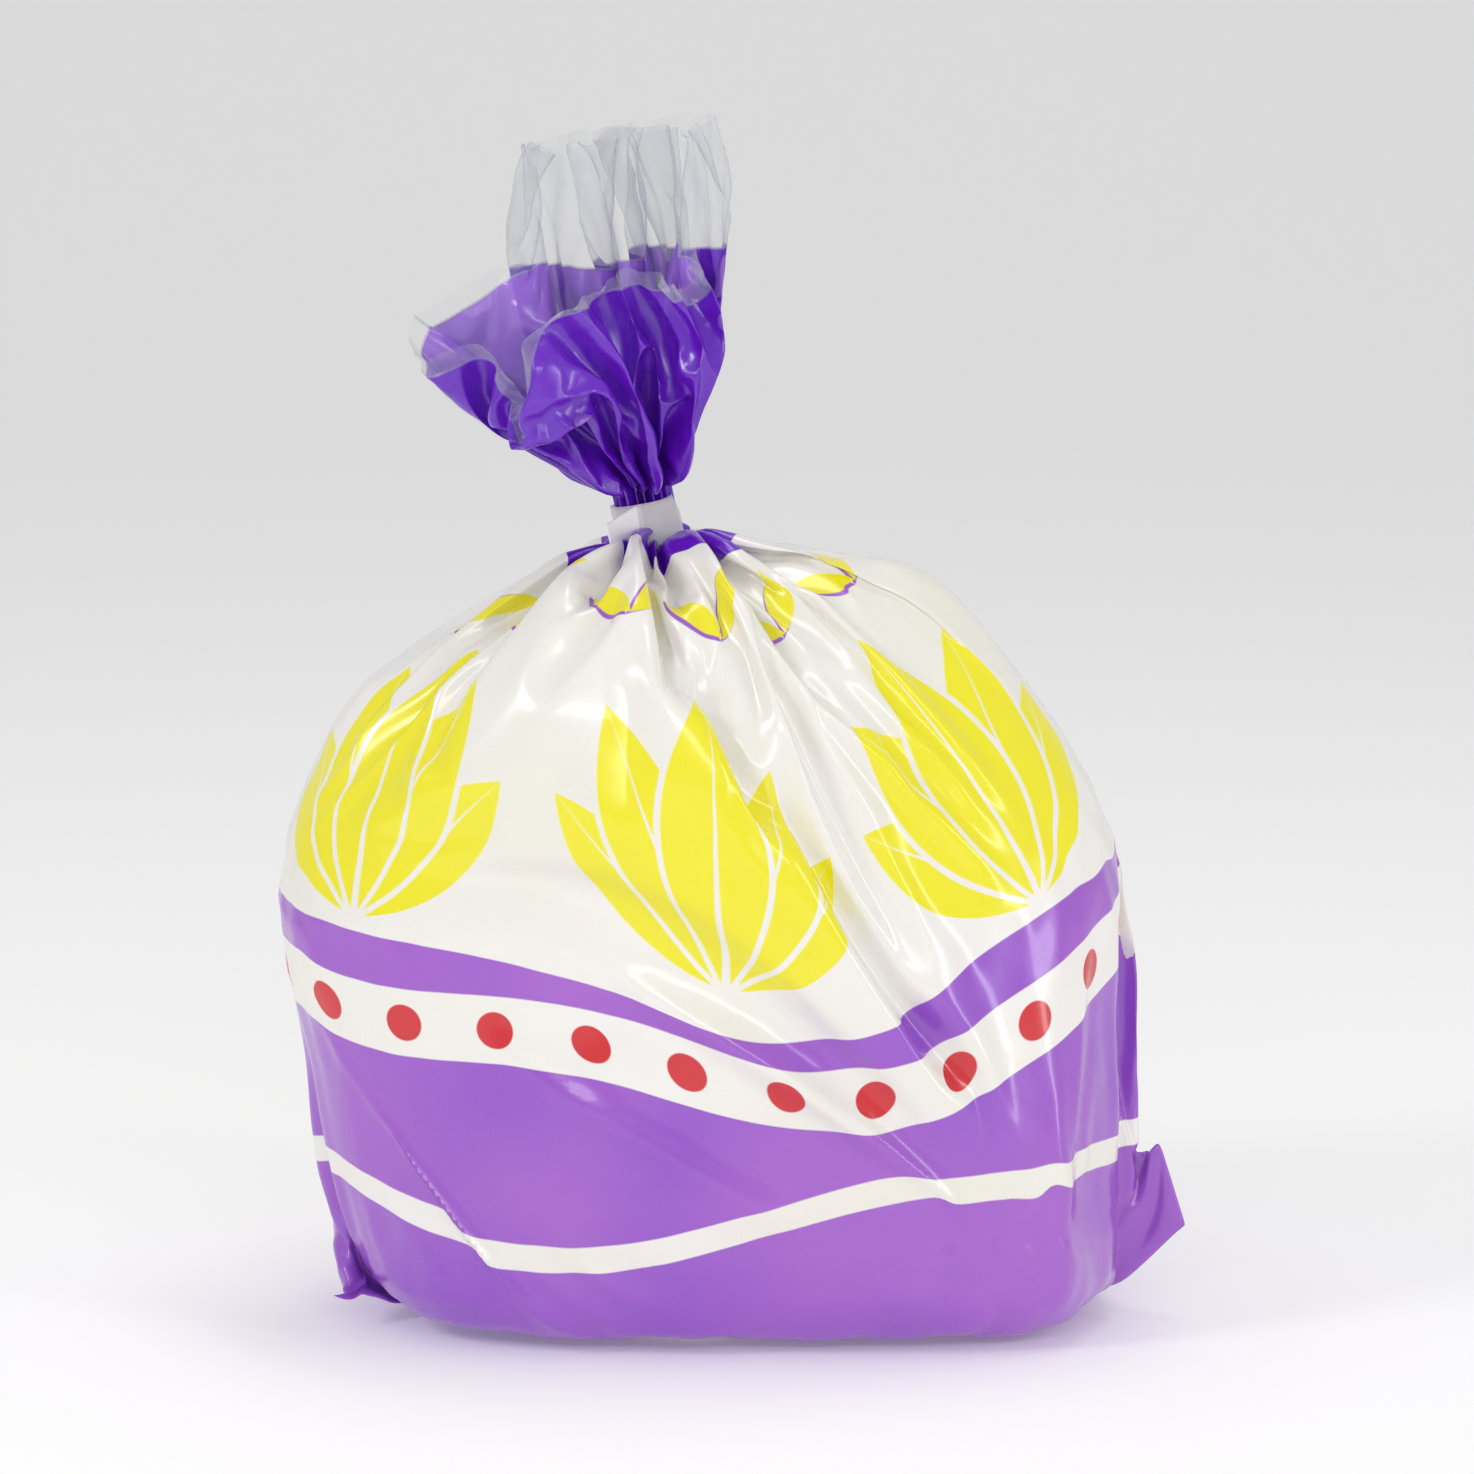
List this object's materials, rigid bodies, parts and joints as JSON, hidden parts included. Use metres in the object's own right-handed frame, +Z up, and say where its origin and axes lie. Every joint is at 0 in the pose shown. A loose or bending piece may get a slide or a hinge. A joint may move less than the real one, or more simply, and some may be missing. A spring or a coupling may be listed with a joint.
{
  "type": "bag of belgian endive",
  "caption": "Filled film bag of endive heads standing on its flat base, its neck gathered and closed with tape and its mouth flaring open above.",
  "frame": {"origin": "middle of the bag's flat base, on the surface that it stands on", "axes": "+Z up, +Y to the back of the bag, +X to the right of its printed front, which faces -Y"},
  "size_m": [0.1937, 0.0982, 0.2584],
  "materials": {
    "film": "glossy printed low-density film, white with purple and yellow print, clear at the mouth",
    "tape": "satin white tape, slightly see-through where it is one layer",
    "leaf": "waxy fresh leaf, white ribs and yellow margins",
    "heart": "waxy fresh leaf bud",
    "stem": "moist cut root core"
  },
  "bodies": {
    "root": {"bag_film": "film", "neck_tape": "tape", "head_a_stem": "stem", "head_a_heart": "heart", "head_a_leaf_1": "leaf", "head_a_leaf_2": "leaf", "head_a_leaf_3": "leaf", "head_a_leaf_4": "leaf", "head_a_leaf_5": "leaf", "head_a_leaf_6": "leaf", "head_a_leaf_7": "leaf", "head_b_stem": "stem", "head_b_heart": "heart", "head_b_leaf_1": "leaf", "head_b_leaf_2": "leaf", "head_b_leaf_3": "leaf", "head_b_leaf_4": "leaf", "head_b_leaf_5": "leaf", "head_b_leaf_6": "leaf", "head_b_leaf_7": "leaf", "head_c_stem": "stem", "head_c_heart": "heart", "head_c_leaf_1": "leaf", "head_c_leaf_2": "leaf", "head_c_leaf_3": "leaf", "head_c_leaf_4": "leaf", "head_c_leaf_5": "leaf", "head_c_leaf_6": "leaf", "head_c_leaf_7": "leaf", "head_d_stem": "stem", "head_d_heart": "heart", "head_d_leaf_1": "leaf", "head_d_leaf_2": "leaf", "head_d_leaf_3": "leaf", "head_d_leaf_4": "leaf", "head_d_leaf_5": "leaf", "head_d_leaf_6": "leaf", "head_d_leaf_7": "leaf", "head_e_stem": "stem", "head_e_heart": "heart", "head_e_leaf_1": "leaf", "head_e_leaf_2": "leaf", "head_e_leaf_3": "leaf", "head_e_leaf_4": "leaf", "head_e_leaf_5": "leaf", "head_e_leaf_6": "leaf", "head_e_leaf_7": "leaf"}
  },
  "joints": []
}
